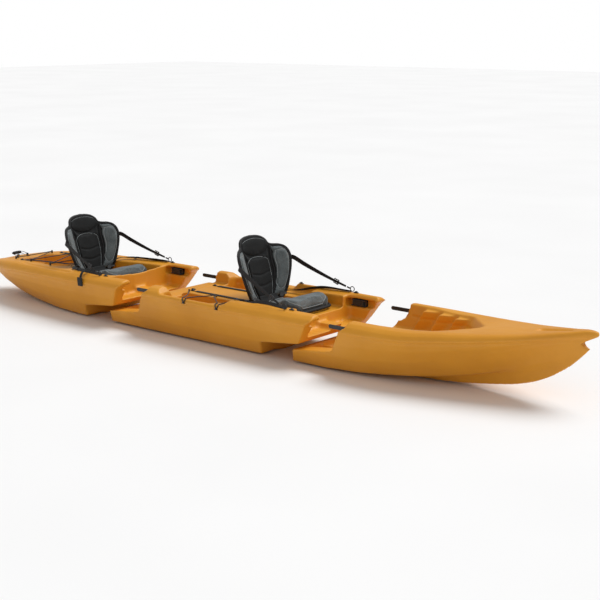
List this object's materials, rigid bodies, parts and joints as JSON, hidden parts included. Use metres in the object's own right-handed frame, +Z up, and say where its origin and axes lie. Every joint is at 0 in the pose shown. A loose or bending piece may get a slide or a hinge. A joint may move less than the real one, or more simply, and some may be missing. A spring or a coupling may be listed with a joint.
{
  "type": "kayak",
  "caption": "Take-apart tandem sit-on-top kayak in sliding hull sections, with ratchet straps, padded folding seats, a tank well and a hinged carry handle.",
  "frame": {"origin": "middle of the bounding box on the ground plane, under the middle hull section", "axes": "+X towards the bow, +Y to port, +Z up; the keel strip stands on z = 0"},
  "size_m": [4.59, 0.716, 0.6369],
  "materials": {
    "hull_plastic": "satin",
    "black_plastic": "satin",
    "steel": "satin",
    "seat_fabric_grey": "matte",
    "seat_fabric_black": "matte",
    "webbing": "matte",
    "bungee_cord": "matte",
    "plug_rubber": "matte",
    "grip_rubber": "matte"
  },
  "bodies": {
    "mid_section": {"mid_hull": "hull_plastic", "mid_ladder_straps": "black_plastic", "mid_strap_screws": "steel", "mid_ratchet_bases": "black_plastic", "mid_ratchet_pins": "steel", "front_seat_pad": "seat_fabric_grey", "front_strap_hooks": "black_plastic", "mid_gunwale_eyes": "black_plastic", "front_seat_tails": "webbing", "mid_tail_eyes": "black_plastic", "front_side_straps": "webbing", "front_strap_sliders": "black_plastic", "side_bungee": "bungee_cord", "side_bungee_hooks": "black_plastic"},
    "stern_section": {"stern_hull": "hull_plastic", "stern_ratchet_bases": "black_plastic", "stern_ratchet_pins": "steel", "rear_seat_pad": "seat_fabric_grey", "rear_strap_hooks": "black_plastic", "stern_gunwale_eyes": "black_plastic", "rear_seat_tails": "webbing", "stern_tail_eyes": "black_plastic", "rear_side_straps": "webbing", "rear_strap_sliders": "black_plastic", "tank_bungee": "bungee_cord", "tank_bungee_hooks": "black_plastic", "carry_pin": "steel", "carry_mounts": "black_plastic"},
    "bow_section": {"bow_hull": "hull_plastic", "bow_ladder_straps": "black_plastic", "bow_strap_screws": "steel"},
    "front_backrest": {"front_seat_back": "seat_fabric_black", "front_seat_straps": "webbing"},
    "rear_backrest": {"rear_seat_back": "seat_fabric_black", "rear_seat_straps": "webbing"},
    "mid_port_lever": {"mid_port_lever": "black_plastic"},
    "mid_starboard_lever": {"mid_starboard_lever": "black_plastic"},
    "stern_port_lever": {"stern_port_lever": "black_plastic"},
    "stern_starboard_lever": {"stern_starboard_lever": "black_plastic"},
    "carry_handle": {"carry_grip": "grip_rubber", "carry_webbing": "webbing"},
    "stern_drain_plug": {"stern_drain_plug": "plug_rubber"},
    "mid_drain_plug": {"mid_drain_plug": "plug_rubber"},
    "bow_drain_plug": {"bow_drain_plug": "plug_rubber"}
  },
  "joints": [
    {"name": "stern_slide", "type": "slide", "parent": "mid_section", "child": "stern_section", "axis": [1, 0, 0], "range_m": [0, 0.22]},
    {"name": "bow_slide", "type": "slide", "parent": "mid_section", "child": "bow_section", "axis": [-1, 0, 0], "range_m": [0, 0.22]},
    {"name": "front_backrest_fold", "type": "hinge", "parent": "mid_section", "child": "front_backrest", "pos_m": [0.236, 0, 0.266], "axis": [0, 1, 0], "range_deg": [0, 70], "deforming": ["front_seat_straps"]},
    {"name": "rear_backrest_fold", "type": "hinge", "parent": "stern_section", "child": "rear_backrest", "pos_m": [-1.264, 0, 0.246], "axis": [0, 1, 0], "range_deg": [0, 62], "deforming": ["rear_seat_straps"]},
    {"name": "mid_port_lever_swing", "type": "hinge", "parent": "mid_section", "child": "mid_port_lever", "pos_m": [0.635, 0.262, 0.262], "axis": [0, 0, -1], "range_deg": [0, 60]},
    {"name": "mid_starboard_lever_swing", "type": "hinge", "parent": "mid_section", "child": "mid_starboard_lever", "pos_m": [0.635, -0.262, 0.262], "axis": [0, 0, 1], "range_deg": [0, 60]},
    {"name": "stern_port_lever_swing", "type": "hinge", "parent": "stern_section", "child": "stern_port_lever", "pos_m": [-0.842, 0.262, 0.262], "axis": [0, 0, -1], "range_deg": [0, 60]},
    {"name": "stern_starboard_lever_swing", "type": "hinge", "parent": "stern_section", "child": "stern_starboard_lever", "pos_m": [-0.842, -0.262, 0.262], "axis": [0, 0, 1], "range_deg": [0, 60]},
    {"name": "carry_handle_lift", "type": "hinge", "parent": "stern_section", "child": "carry_handle", "pos_m": [-2.052, 0, 0.264], "axis": [0, 1, 0], "range_deg": [0, 150]},
    {"name": "stern_plug_turn", "type": "hinge", "parent": "stern_section", "child": "stern_drain_plug", "pos_m": [-1.68, -0.096, 0.194], "axis": [0, 0, 1], "continuous": true},
    {"name": "mid_plug_turn", "type": "hinge", "parent": "mid_section", "child": "mid_drain_plug", "pos_m": [-0.395, 0, 0.234], "axis": [0, 0, 1], "continuous": true},
    {"name": "bow_plug_turn", "type": "hinge", "parent": "bow_section", "child": "bow_drain_plug", "pos_m": [1.04, -0.14, 0.172], "axis": [0, 0, 1], "continuous": true}
  ]
}
